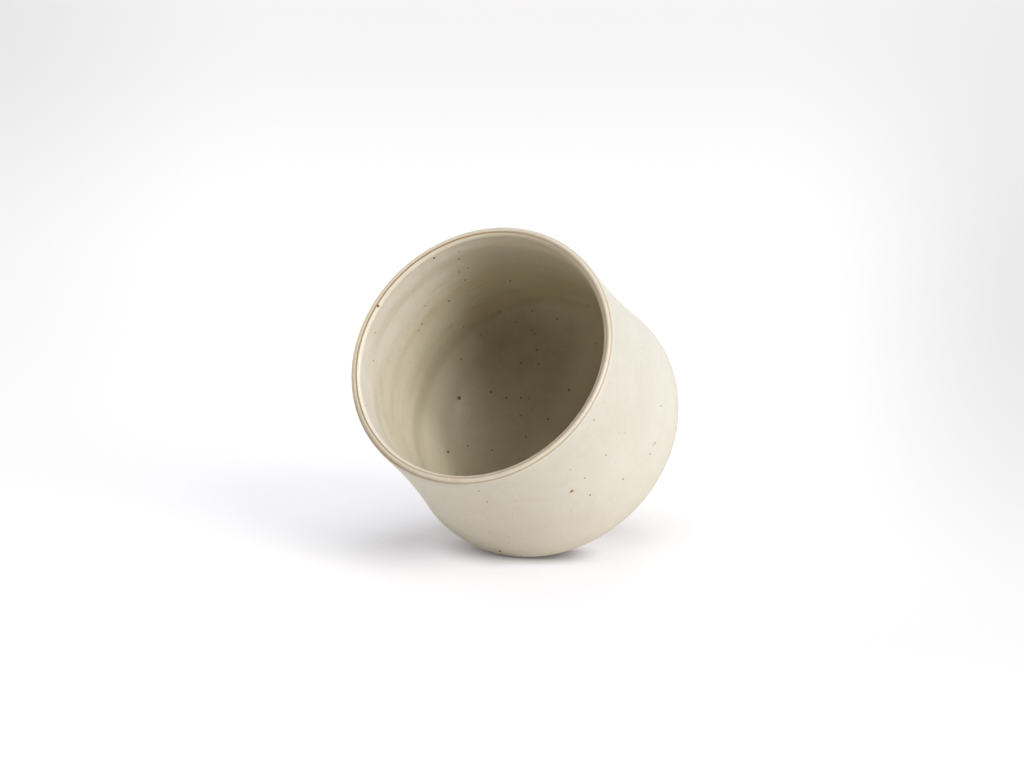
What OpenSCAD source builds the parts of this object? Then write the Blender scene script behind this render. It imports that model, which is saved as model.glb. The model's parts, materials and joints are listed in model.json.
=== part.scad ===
// Handleless stoneware tea cup, thrown on a wheel and glazed inside and out.
// Millimetres. The foot stands on the table at z = 0 and the cup's axis is Z.

/* [Mouth] */
// Diameter over the glaze at the lip
rim_d = 80.8; // [70:0.2:86]
// Thickness of the lip over the glaze
lip_t = 3; // [2.2:0.1:4.5]
// Straight collar under the lip, above the swell of the wall
collar_h = 4; // [2:0.5:12]

/* [Wall] */
// Height of the whole cup
cup_h = 69; // [58:1:95]
// Diameter over the glaze at the shoulder, before its edge is softened
shoulder_d = 87.6; // [81:0.2:100]
// Height of the shoulder above the table
shoulder_h = 14; // [9:0.5:20]
// Radius that softens the shoulder's edge
shoulder_r = 4; // [1:0.5:9]
// Thickness of the clay wall at its lower end inside
wall_t = 4.6; // [3.5:0.1:7]

/* [Foot] */
// Diameter of the foot on the table, where the heel ends
foot_d = 70; // [54:0.5:76]
// Width of the ring that the cup stands on
foot_w = 5; // [3.5:0.5:10]
// Radius that softens the foot's outer edge
foot_r = 1.2; // [0.4:0.1:2]
// Depth of the hollow turned under the base
hollow_h = 2.5; // [1:0.1:3.5]
// Radius that softens the edges of the hollow
hollow_r = 0.6; // [0.2:0.1:1]

/* [Inside] */
// Thickness of the clay floor at its middle
floor_t = 4; // [3:0.1:7]
// Diameter of the dished floor, inside the bevel
floor_d = 59; // [44:0.5:64]
// Fall of the dished floor from the bevel to its middle
floor_dish = 5.5; // [1.5:0.1:7]
// Radius that softens the edge of the floor
floor_r = 8; // [2:0.5:12]
// Height of the bevel between the floor and the wall
bevel_h = 9.3; // [6:0.1:14]
// Radius that softens the corner of the wall and the bevel
bevel_r = 6; // [2:0.5:8]
// Distance from one throwing ring to the next
ring_pitch = 6; // [4:0.5:10]
// Height of the throwing rings on the inside wall
ring_t = 0.15; // [0:0.05:0.3]

/* [Glaze] */
// Thickness of the fired glaze
glaze_t = 0.4; // [0.2:0.05:0.6]
// Thickness of the glaze where a coat ends
glaze_edge_t = 0.1; // [0.05:0.05:0.2]
// Length over which a coat thins out on the heel
glaze_feather = 1; // [0.5:0.1:2]
// Height of the coat's lower edge on the heel
glaze_line_h = 4; // [2.5:0.5:6]
// Width of the bare line at each edge of the lip
break_w = 0.35; // [0.2:0.05:0.5]
// Place of the outer bare line, as an angle up from level
break_out_a = 42; // [20:1:55]
// Place of the inner bare line, as an angle round from the outside
break_in_a = 111; // [105:1:150]

/* [Hidden] */

// Facets of the preview, and steps along the curves of the outline
$fn = 180;
wall_steps = 12;
edge_steps = 6;
dish_steps = 7;
ring_steps = 6;
lip_step_a = 8;

// The clay under the glaze
clay_rim_r = rim_d / 2 - glaze_t;
clay_shoulder_r = shoulder_d / 2 - glaze_t;
lip_r = lip_t / 2 - glaze_t;
lip_centre = [rim_d / 2 - lip_t / 2, cup_h - lip_t / 2];
collar_z = lip_centre.y - collar_h;
floor_z = hollow_h + floor_t;
bevel_z = floor_z + floor_dish;
bevel_top_z = bevel_z + bevel_h;
foot_in_r = foot_d / 2 - foot_w;
break_half_a = break_w / 2 / lip_r * 180 / PI;

// Points of a round with radius r that softens the corner q between p and s
function unit(v) = v / norm(v);
function rounded(p, q, s, r) =
    let (u = unit(p - q), v = unit(s - q))
    let (half = acos(u * v) / 2)
    let (centre = q + unit(u + v) * r / sin(half))
    let (first = q + u * r / tan(half) - centre, last = q + v * r / tan(half) - centre)
    let (start = atan2(first.y, first.x), sweep = atan2(cross(first, last), first * last))
    [for (i = [0 : edge_steps]) let (a = start + sweep * i / edge_steps) centre + r * [cos(a), sin(a)]];

// A place on the heel, which runs straight from the foot to the shoulder
function heel(z) = [foot_d / 2 + (clay_shoulder_r - foot_d / 2) * z / shoulder_h, z];

// A place on the outside: a straight collar, then a swell down to the shoulder
function wall(z) =
    let (drop = max(0, collar_z - z) / (collar_z - shoulder_h))
    [clay_rim_r + (clay_shoulder_r - clay_rim_r) * pow(drop, 2), z];

// A place on the dished floor, at a share of its radius
function dish(share) = [floor_d / 2 * share, floor_z + floor_dish * pow(share, 2)];

// Points round the lip between two angles, 0 outside and 180 inside
function lip(a, b) =
    let (steps = ceil((b - a) / lip_step_a))
    [for (i = [0 : steps]) let (c = a + (b - a) * i / steps) lip_centre + lip_r * [cos(c), sin(c)]];

// The clay's outline, in the order that a finger traces it: from the middle
// of the base out over the foot, up, over the lip and down inside
hollow_edge = [foot_in_r - hollow_h, hollow_h];
foot_edge = [foot_d / 2, 0];
foot_face = concat(
    [[0, hollow_h]],
    rounded([0, hollow_h], hollow_edge, [foot_in_r, 0], hollow_r),
    rounded(hollow_edge, [foot_in_r, 0], foot_edge, hollow_r),
    rounded([foot_in_r, 0], foot_edge, heel(glaze_line_h), foot_r));

wall_zs = [for (i = [1 : wall_steps]) shoulder_h + (collar_z - shoulder_h) * i / wall_steps];
outside_face = concat(
    [heel(glaze_line_h), heel(glaze_line_h + glaze_feather)],
    rounded(heel(0), heel(shoulder_h), wall(wall_zs[0]), shoulder_r),
    [for (z = wall_zs) wall(z)],
    lip(0, break_out_a - break_half_a));

lip_face = lip(break_out_a + break_half_a, break_in_a - break_half_a);

bevel_top = [wall(bevel_top_z).x - wall_t, bevel_top_z];
mouth_face = lip(break_in_a + break_half_a, 180);
mouth_foot = lip_centre - [lip_r, 0];
bowl_face = concat(
    rounded(mouth_foot, bevel_top, dish(1), bevel_r),
    rounded(bevel_top, dish(1), dish(1 - 1 / dish_steps), floor_r),
    [for (i = [dish_steps - 1 : -1 : 0]) dish(i / dish_steps)]);

// The straight inside wall, cut into steps that are fine enough for its throwing rings
ring_count = ceil((mouth_foot.y - bowl_face[0].y) / ring_pitch * ring_steps);
ring_face = [for (i = [1 : ring_count - 1]) mouth_foot + (bowl_face[0] - mouth_foot) * i / ring_count];

// Height of the rings, which fade out towards the lip and the bevel
function ring(z) =
    let (below = mouth_foot.y - z, above = z - bowl_face[0].y)
    let (fade = max(0, min(1, below / ring_pitch, above / ring_pitch)))
    ring_t * fade * (1 - cos(360 * below / ring_pitch)) / 2;

// The surface of a glaze over a face, with a thickness for each point of the face
function outward(face, i) =
    let (step = unit(face[min(i + 1, len(face) - 1)] - face[max(i - 1, 0)]))
    face[i].x == 0 ? [0, 1] : [step.y, -step.x];
function skin(face, t) = [for (i = [0 : len(face) - 1]) face[i] + outward(face, i) * t[i]];

// A coat of glaze, from the clay's own face to the surface of the glaze
function coat(face, over) = concat(face, [for (i = [len(over) - 1 : -1 : 0]) over[i]]);
function feathered(face) =
    [for (i = [1 : len(face)]) i == 1 || i == len(face) ? glaze_edge_t : glaze_t];

module turned(outline) {
    rotate_extrude() polygon(outline);
}

// Thrown and turned stoneware: wall, floor, heel and foot in one lump of clay
module clay_body() {
    color("rosybrown") turned(concat(foot_face, outside_face, lip_face, mouth_face, bowl_face));
}

// Cream coat from the lip's outer edge to a line above the bare foot
module outside_glaze() {
    color("antiquewhite") turned(coat(outside_face, skin(outside_face, feathered(outside_face))));
}

// Pale band on top of the lip, between its two bare lines
module lip_glaze() {
    color("linen") turned(coat(lip_face, skin(lip_face, feathered(lip_face))));
}

// Liner coat from the lip's inner edge to the middle of the floor, with the throwing rings
module inside_glaze() {
    liner = concat(mouth_face, ring_face, bowl_face);
    thickness = [for (i = [1 : len(liner)]) i == 1 ? glaze_edge_t : glaze_t + ring(liner[i - 1].y)];
    color("wheat") turned(coat(concat(mouth_face, bowl_face), skin(liner, thickness)));
}

clay_body();
outside_glaze();
lip_glaze();
inside_glaze();
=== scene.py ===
"""Looks of a handleless stoneware tea cup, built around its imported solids.

Everything is in metres in the part's own frame: the foot stands on z = 0 and the
cup's axis is Z. The camera sees the cup lying on its heel with its mouth towards
the viewer, so the studio floor is tilted to touch the heel.
"""

import json
import logging
import math
from dataclasses import dataclass
from enum import Enum
from functools import reduce
from typing import Any

import bmesh
import bpy
from mathutils import Color, Matrix, Vector
from mathutils.bvhtree import BVHTree

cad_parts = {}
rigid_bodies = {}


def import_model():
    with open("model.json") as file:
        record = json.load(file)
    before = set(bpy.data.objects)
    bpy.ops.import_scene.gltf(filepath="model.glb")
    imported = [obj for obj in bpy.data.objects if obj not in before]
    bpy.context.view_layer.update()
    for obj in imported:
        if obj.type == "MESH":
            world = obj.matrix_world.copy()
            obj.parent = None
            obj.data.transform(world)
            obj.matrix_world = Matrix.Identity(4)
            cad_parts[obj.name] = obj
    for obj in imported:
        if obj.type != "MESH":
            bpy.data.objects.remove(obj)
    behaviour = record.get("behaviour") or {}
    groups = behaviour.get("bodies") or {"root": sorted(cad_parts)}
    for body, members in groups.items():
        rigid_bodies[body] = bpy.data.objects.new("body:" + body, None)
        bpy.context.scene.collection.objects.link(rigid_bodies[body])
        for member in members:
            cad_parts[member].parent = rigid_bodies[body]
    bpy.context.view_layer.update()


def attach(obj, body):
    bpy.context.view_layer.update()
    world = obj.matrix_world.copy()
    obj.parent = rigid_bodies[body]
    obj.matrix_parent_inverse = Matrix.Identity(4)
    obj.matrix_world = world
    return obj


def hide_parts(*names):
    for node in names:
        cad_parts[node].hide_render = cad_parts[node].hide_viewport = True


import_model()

LOG = logging.getLogger("tea_cup")
MM = 0.001
IMAGE_W = 1024
IMAGE_H = 768
SENSOR_W = 36.0
FULL_CHANNEL = 255
HALF_TURN = 180
BODY = "root"

Point = tuple[float, float]
Colour = tuple[int, int, int]
Direction = tuple[float, float, float]
Socket = bpy.types.NodeSocket


def linear(colour: Colour) -> tuple[float, float, float, float]:
    """Turn a colour as it is seen on screen into the values that a shader takes.

    Args:
        colour: Red, green and blue from 0 to 255.

    Returns:
        Red, green, blue and alpha, scene linear.
    """
    shares = Color([channel / FULL_CHANNEL for channel in colour])
    return (*shares.from_srgb_to_scene_linear(), 1.0)


class TreeKit:
    """Adds nodes to one node tree and joins them.

    The mix node has several sockets of each name, so the numbers of its colours are kept here.
    """

    MIX_FIRST = 6
    MIX_SECOND = 7
    MIX_RESULT = 2

    def __init__(self, tree: bpy.types.NodeTree) -> None:
        """Keep the tree that the nodes go into."""
        self.tree = tree

    def add(self, kind: str, inputs: dict[Any, Any] | None = None, **settings: Any) -> bpy.types.Node:
        """Add a node.

        Args:
            kind: Blender's name of the node type.
            inputs: Values or sockets for the node's inputs, by name or number.
            settings: The node's own properties.

        Returns:
            The new node.
        """
        node = self.tree.nodes.new(kind)
        for name, value in settings.items():
            setattr(node, name, value)
        for key, value in (inputs or {}).items():
            self.feed(node.inputs[key], value)
        return node

    def value(self, kind: str, inputs: dict[Any, Any] | None = None, **settings: Any) -> Socket:
        """Add a node and return its first output."""
        return self.add(kind, inputs, **settings).outputs[0]

    def feed(self, socket: Socket, value: Any) -> None:
        """Join a socket to an input, or set the input's own value.

        Args:
            socket: The input.
            value: The socket to join to it, or its value.
        """
        if isinstance(value, Socket):
            self.tree.links.new(value, socket)
        else:
            socket.default_value = value

    def math(self, operation: str, *values: Any) -> Socket:
        """Work out one number.

        Args:
            operation: Blender's name of the operation.
            values: Numbers or sockets, in order.

        Returns:
            The socket with the result.
        """
        return self.value("ShaderNodeMath", dict(enumerate(values)), operation=operation)

    def vector(self, operation: str, *values: Any) -> Socket:
        """Work out one vector.

        Args:
            operation: Blender's name of the operation, other than SCALE.
            values: Vectors or sockets, in order.

        Returns:
            The socket with the result.
        """
        node = self.add("ShaderNodeVectorMath", dict(enumerate(values)), operation=operation)
        scalar = operation in ("DOT_PRODUCT", "LENGTH")
        return node.outputs["Value" if scalar else "Vector"]

    def scaled(self, vector: Any, factor: Any) -> Socket:
        """Return a vector times a number."""
        node = self.add("ShaderNodeVectorMath", {0: vector, "Scale": factor}, operation="SCALE")
        return node.outputs["Vector"]

    def product(self, *factors: Any) -> Socket:
        """Return numbers or sockets times each other."""
        return reduce(lambda first, second: self.math("MULTIPLY", first, second), factors)

    def rest(self, share: Any) -> Socket:
        """Return what a share leaves of 1."""
        return self.math("SUBTRACT", 1.0, share)

    def split(self, vector: Any) -> Any:
        """Return the parts of a vector, named X, Y and Z."""
        return self.add("ShaderNodeSeparateXYZ", {0: vector}).outputs

    def joined(self, x: Any = 0.0, y: Any = 0.0, z: Any = 0.0) -> Socket:
        """Return the vector that has these parts."""
        return self.value("ShaderNodeCombineXYZ", {0: x, 1: y, 2: z})

    def place(self) -> Socket:
        """Return the place on the object, for a shader."""
        return self.add("ShaderNodeTexCoord").outputs["Object"]

    def attribute(self, name: str) -> Socket:
        """Return a number that the object's mesh carries, for a shader."""
        return self.add("ShaderNodeAttribute", attribute_name=name).outputs["Fac"]

    def ramp(
        self, value: Any, low: float, high: float, start: float = 0.0, end: float = 1.0
    ) -> Socket:
        """Carry a value smoothly from one range to another.

        Args:
            value: The socket to read.
            low: Value at which the result is start.
            high: Value at which the result is end.
            start: First result.
            end: Last result.

        Returns:
            The socket with the result.
        """
        inputs = {"Value": value, "From Min": low, "From Max": high, "To Min": start, "To Max": end}
        return self.value("ShaderNodeMapRange", inputs, interpolation_type="SMOOTHSTEP")

    def towards(
        self, place: Any, side: Direction, reach: Point, start: float = 0.0, end: float = 1.0
    ) -> Socket:
        """Carry a value smoothly from one range to another, on the way to one side of the cup.

        Args:
            place: Socket with the place.
            side: Direction of the side.
            reach: How far to that side the result is start, and how far it is end.
            start: First result.
            end: Last result.

        Returns:
            The socket with the result.
        """
        return self.ramp(self.vector("DOT_PRODUCT", place, side), *reach, start, end)

    def blend(self, share: Any, first: Any, second: Any) -> Socket:
        """Mix two colours.

        Args:
            share: How much of the second colour shows, 0 to 1.
            first: Colour or socket.
            second: Colour or socket.

        Returns:
            The socket with the mixed colour.
        """
        node = self.add("ShaderNodeMix", data_type="RGBA")
        self.feed(node.inputs[0], share)
        self.feed(node.inputs[self.MIX_FIRST], first)
        self.feed(node.inputs[self.MIX_SECOND], second)
        return node.outputs[self.MIX_RESULT]

    def satin(self, colour: Any, roughness: Any, **more: Any) -> None:
        """End a material in a plain shader.

        Args:
            colour: Colour or socket.
            roughness: Number or socket.
            more: Other inputs of the shader, by name.
        """
        inputs = {"Base Color": colour, "Roughness": roughness, **more}
        self.add("ShaderNodeOutputMaterial", {0: self.value("ShaderNodeBsdfPrincipled", inputs)})


def new_material(name: str) -> tuple[bpy.types.Material, TreeKit]:
    """Start a material with an empty node tree.

    Args:
        name: Name of the material.
    """
    made = bpy.data.materials.new(name)
    made.use_nodes = True
    made.node_tree.nodes.clear()
    return made, TreeKit(made.node_tree)


@dataclass(frozen=True)
class Pattern:
    """Smooth noise on the cup, which shows between two of its levels.

    Attributes:
        scale: How fine it is, as waves on a metre.
        low: Level at which it starts to show.
        high: Level at which it shows fully.
        detail: How many layers of finer waves it has.
        rough: How strong the finer waves are, 0 to 1.
    """

    scale: float
    low: float = 0.0
    high: float = 1.0
    detail: float = 2.0
    rough: float = 0.5

    def noise(self, kit: TreeKit, place: Any) -> Socket:
        """Return the plain noise at a place, 0 to 1."""
        inputs = {"Vector": place, "Scale": self.scale, "Detail": self.detail, "Roughness": self.rough}
        return kit.value("ShaderNodeTexNoise", inputs)

    def shown(self, kit: TreeKit, place: Any, start: float = 0.0, end: float = 1.0) -> Socket:
        """Find how much of the pattern shows.

        Args:
            kit: Kit of the material's tree.
            place: Socket with the place.
            start: Result where nothing shows.
            end: Result where all of it shows.

        Returns:
            The socket with the result.
        """
        return kit.ramp(self.noise(kit, place), self.low, self.high, start, end)


@dataclass(frozen=True)
class CupForm:
    """The thrown cup's sizes in millimetres, and the outline that they give.

    The outline is traced from the middle of the base out over the foot, up, over the
    lip and down inside, as points of radius and height.

    Attributes:
        rim_d: Diameter over the glaze at the lip.
        lip_t: Thickness of the lip over the glaze.
        collar_h: Straight collar under the lip, above the swell of the wall.
        cup_h: Height of the whole cup.
        shoulder_d: Diameter over the glaze at the shoulder, before its edge is softened.
        shoulder_h: Height of the shoulder.
        shoulder_r: Radius that softens the shoulder's edge.
        wall_t: Thickness of the clay wall at its lower end inside.
        foot_d: Diameter of the foot, where the heel ends.
        foot_w: Width of the ring that the cup stands on.
        foot_r: Radius that softens the foot's outer edge.
        hollow_h: Depth of the hollow turned under the base.
        hollow_r: Radius that softens the edges of the hollow.
        floor_t: Thickness of the clay floor at its middle.
        floor_d: Diameter of the dished floor, inside the bevel.
        floor_dish: Fall of the floor from the bevel to its middle.
        floor_r: Radius that softens the edge of the floor.
        bevel_h: Height of the bevel between the floor and the wall.
        bevel_r: Radius that softens the corner of the wall and the bevel.
        glaze_t: Thickness of the glaze.
        glaze_line_h: Height of the outside coat's lower edge.
        break_w: Width of the bare line at each edge of the lip.
        break_out_a: Place of the outer bare line, in degrees up from level.
        break_in_a: Place of the inner bare line, in degrees round from the outside.
        film_t: Thickness of the film of glaze that is left on a bare line.
        film_a: How far the film reaches beside the line, in degrees, before it thins out.
        step: Longest step along the outline.
        arc_steps: Steps along each round.
        lip_step_a: Longest step round the lip, in degrees.
    """

    rim_d: float = 80.8
    lip_t: float = 3.0
    collar_h: float = 4.0
    cup_h: float = 69.0
    shoulder_d: float = 87.6
    shoulder_h: float = 14.0
    shoulder_r: float = 4.0
    wall_t: float = 4.6
    foot_d: float = 70.0
    foot_w: float = 5.0
    foot_r: float = 1.2
    hollow_h: float = 2.5
    hollow_r: float = 0.6
    floor_t: float = 4.0
    floor_d: float = 59.0
    floor_dish: float = 5.5
    floor_r: float = 14.0
    bevel_h: float = 9.3
    bevel_r: float = 5.0
    glaze_t: float = 0.4
    glaze_line_h: float = 4.0
    break_w: float = 0.35
    break_out_a: float = 42.0
    break_in_a: float = 111.0
    film_t: float = 0.22
    film_a: float = 6.0
    step: float = 0.9
    arc_steps: int = 10
    lip_step_a: float = 4.0

    MEET = 1e-6
    DISH_EDGE = 1 / 7
    FILM_FINENESS = 2
    SHOULDER_STEPS = 2

    @property
    def clay_rim_r(self) -> float:
        """Radius of the clay at the collar."""
        return self.rim_d / 2 - self.glaze_t

    @property
    def clay_shoulder_r(self) -> float:
        """Radius of the clay at the shoulder, before its edge is softened."""
        return self.shoulder_d / 2 - self.glaze_t

    @property
    def lip_r(self) -> float:
        """Radius of the clay lip's round top."""
        return self.lip_t / 2 - self.glaze_t

    @property
    def lip_centre(self) -> Point:
        """Middle of the lip's round top."""
        return self.rim_d / 2 - self.lip_t / 2, self.cup_h - self.lip_t / 2

    @property
    def collar_z(self) -> float:
        """Height at which the swell of the wall starts."""
        return self.lip_centre[1] - self.collar_h

    @property
    def floor_z(self) -> float:
        """Height of the clay floor at its middle."""
        return self.hollow_h + self.floor_t

    @property
    def bevel_top(self) -> Point:
        """Corner of the inside wall and the bevel, before it is softened."""
        height = self.floor_z + self.floor_dish + self.bevel_h
        return self.wall(height)[0] - self.wall_t, height

    @property
    def break_half_a(self) -> float:
        """Half the width of a bare line, as an angle round the lip."""
        return math.degrees(self.break_w / 2 / self.lip_r)

    def heel(self, z: float) -> Point:
        """Return the place on the straight heel at a height."""
        foot = self.foot_d / 2
        return foot + (self.clay_shoulder_r - foot) * z / self.shoulder_h, z

    def wall(self, z: float) -> Point:
        """Return the place on the outside wall at a height."""
        drop = max(0.0, self.collar_z - z) / (self.collar_z - self.shoulder_h)
        return self.clay_rim_r + (self.clay_shoulder_r - self.clay_rim_r) * drop ** 2, z

    def dish(self, share: float) -> Point:
        """Return the place on the dished floor at a share of its radius."""
        return self.floor_d / 2 * share, self.floor_z + self.floor_dish * share ** 2

    def lip(self, start: float, end: float) -> list[Point]:
        """Trace the lip's round top between two angles, 0 outside and 180 inside.

        Args:
            start: First angle in degrees.
            end: Last angle in degrees.

        Returns:
            Points along the arc.
        """
        count = math.ceil((end - start) / self.lip_step_a)
        angles = [start + (end - start) * i / count for i in range(count + 1)]
        return [self.lip_place(angle, 0.0) for angle in angles]

    def lip_place(self, angle: float, height: float) -> Point:
        """Find the place at an angle round the lip.

        Args:
            angle: Angle in degrees, 0 outside and 180 inside.
            height: Height over the lip's clay.

        Returns:
            Radius and height.
        """
        turn = math.radians(angle)
        reach = self.lip_r + height
        return self.lip_centre[0] + reach * math.cos(turn), self.lip_centre[1] + reach * math.sin(turn)

    def bare_lip(self) -> list[Point]:
        """Trace the lip's clay, with the film of glaze that is left on its two bare lines.

        Returns:
            Points from the outside to the inside.
        """
        count = math.ceil(HALF_TURN / self.lip_step_a) * self.FILM_FINENESS
        points = []
        for i in range(count + 1):
            angle = HALF_TURN * i / count
            away = min(abs(angle - self.break_out_a), abs(angle - self.break_in_a))
            share = (self.break_half_a + 2 * self.film_a - away) / self.film_a
            points.append(self.lip_place(angle, self.film_t * max(0.0, min(1.0, share))))
        return points

    def rounded(self, before: Point, corner: Point, after: Point, radius: float) -> list[Point]:
        """Soften a corner with a round.

        Args:
            before: A place on the line into the corner.
            corner: The sharp corner.
            after: A place on the line out of the corner.
            radius: Radius of the round.

        Returns:
            Points along the round.
        """
        q = Vector(corner)
        u = (Vector(before) - q).normalized()
        v = (Vector(after) - q).normalized()
        half = u.angle(v) / 2
        centre = q + (u + v).normalized() * radius / math.sin(half)
        first = q + u * radius / math.tan(half) - centre
        last = q + v * radius / math.tan(half) - centre
        sweep = math.atan2(first.x * last.y - first.y * last.x, first.dot(last))
        turns = [sweep * i / self.arc_steps for i in range(self.arc_steps + 1)]
        arc = [centre + Matrix.Rotation(turn, 2) @ first for turn in turns]
        return [(p.x, p.y) for p in arc]

    def spaced(self, face: list[Point]) -> list[Point]:
        """Add points to a face where two of its points lie too far apart.

        Args:
            face: Points along the face.

        Returns:
            The same face with no long step.
        """
        points = [face[0]]
        for (r0, z0), (r1, z1) in zip(face, face[1:]):
            count = max(1, math.ceil(math.dist((r0, z0), (r1, z1)) / self.step))
            shares = [i / count for i in range(1, count + 1)]
            points += [(r0 + (r1 - r0) * s, z0 + (z1 - z0) * s) for s in shares]
        return points

    def foot_face(self) -> list[Point]:
        """Trace the base from its middle to the lower edge of the glaze.

        Returns:
            Points along the hollow, the foot ring and the bare heel.
        """
        inner_r = self.foot_d / 2 - self.foot_w
        middle = (0.0, self.hollow_h)
        hollow_edge = (inner_r - self.hollow_h, self.hollow_h)
        ring_edge = (inner_r, 0.0)
        foot_edge = (self.foot_d / 2, 0.0)
        heel_end = self.heel(self.glaze_line_h)
        face = [middle]
        face += self.rounded(middle, hollow_edge, ring_edge, self.hollow_r)
        face += self.rounded(hollow_edge, ring_edge, foot_edge, self.hollow_r)
        face += self.rounded(ring_edge, foot_edge, heel_end, self.foot_r)
        return self.spaced(face)

    def outside_wall(self) -> list[Point]:
        """Trace the outside from the glaze's lower edge to the collar.

        Returns:
            Points along the heel, the shoulder and the wall.
        """
        count = math.ceil((self.collar_z - self.shoulder_h) / self.step)
        rise = (self.collar_z - self.shoulder_h) / count
        heights = [self.shoulder_h + rise * i for i in range(1, count + 1)]
        shoulder = self.heel(self.shoulder_h)
        above = self.wall(heights[self.SHOULDER_STEPS])
        softened = self.rounded(self.heel(0), shoulder, above, self.shoulder_r)
        face = [self.heel(self.glaze_line_h)] + softened
        face += [self.wall(z) for z in heights if z > softened[-1][1] + self.step / 2]
        return self.spaced(face + [self.lip_place(0, 0.0)])[:-1]

    def outside_face(self) -> list[Point]:
        """Trace the outside from the glaze's lower edge to the lip's outer bare line."""
        return self.outside_wall() + self.lip(0, self.break_out_a - self.break_half_a)

    def lip_face(self) -> list[Point]:
        """Trace the band on top of the lip, between its two bare lines."""
        return self.lip(self.break_out_a + self.break_half_a, self.break_in_a - self.break_half_a)

    def inside_bowl(self) -> list[Point]:
        """Trace the inside from the lip to the middle of the floor.

        Returns:
            Points along the wall, the bevel and the dished floor.
        """
        count = math.ceil(self.floor_d / 2 / self.step)
        mouth = self.lip_place(HALF_TURN, 0.0)
        face = [mouth] + self.rounded(mouth, self.bevel_top, self.dish(1), self.bevel_r)
        edge = self.rounded(self.bevel_top, self.dish(1), self.dish(1 - self.DISH_EDGE), self.floor_r)
        dish = [self.dish(i / count) for i in range(count, -1, -1)]
        face += edge + [place for place in dish if place[0] < edge[-1][0]]
        return self.spaced(face)[1:]

    def inside_face(self) -> list[Point]:
        """Trace the inside from the lip's inner bare line to the middle of the floor."""
        return self.lip(self.break_in_a + self.break_half_a, HALF_TURN) + self.inside_bowl()


@dataclass
class Station:
    """One point of an outline, in millimetres, with what the turning needs to know there.

    Attributes:
        place: Radius and height.
        outward: Direction out of the surface.
        flow: Direction in which a coat's edge creeps, times how far it follows.
        ring: Share of the throwing rings' height, 0 to 1.
        along: Length of the outline up to here.
        edge: Distance from the coat's nearest edge, or a long way on the clay.
        shown: 1 on the clay and on a coat's surface, 0 on the side of a coat that lies on the clay.
    """

    place: Point
    outward: Point
    flow: Point = (0.0, 0.0)
    ring: float = 0.0
    along: float = 0.0
    edge: float = 100.0
    shown: float = 1.0


def directions(face: list[Point]) -> list[Point]:
    """Find which way a face runs at each of its points.

    Args:
        face: Points along the face.

    Returns:
        A unit direction for each point.
    """
    last = len(face) - 1
    ways = []
    for i in range(len(face)):
        step = Vector(face[min(i + 1, last)]) - Vector(face[max(i - 1, 0)])
        step.normalize()
        ways.append((step.x, step.y))
    return ways


def lengths(face: list[Point]) -> list[float]:
    """Measure a face up to each of its points.

    Args:
        face: Points along the face.

    Returns:
        Length from the first point, for each point.
    """
    total = [0.0]
    for before, after in zip(face, face[1:]):
        total.append(total[-1] + math.dist(before, after))
    return total


def bake(piece: bpy.types.Object) -> None:
    """Turn a piece's modifiers into a plain mesh.

    Args:
        piece: The piece, which keeps its name.
    """
    graph = bpy.context.evaluated_depsgraph_get()
    made = piece.evaluated_get(graph)
    mesh = bpy.data.meshes.new_from_object(made, preserve_all_data_layers=True, depsgraph=graph)
    if mesh.materials[0] is None:
        mesh.materials.pop(index=0)
    piece.modifiers.clear()
    piece.data = mesh
    mesh.name = piece.name


def close_shell(mesh: bpy.types.Mesh) -> None:
    """Take loose edges off a welded shell and point its faces outwards.

    Args:
        mesh: The shell.
    """
    work = bmesh.new()
    work.from_mesh(mesh)
    loose = [edge for edge in work.edges if not edge.link_faces]
    bmesh.ops.delete(work, geom=loose, context="EDGES")
    bmesh.ops.recalc_face_normals(work, faces=work.faces)
    work.to_mesh(mesh)
    work.free()


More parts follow.
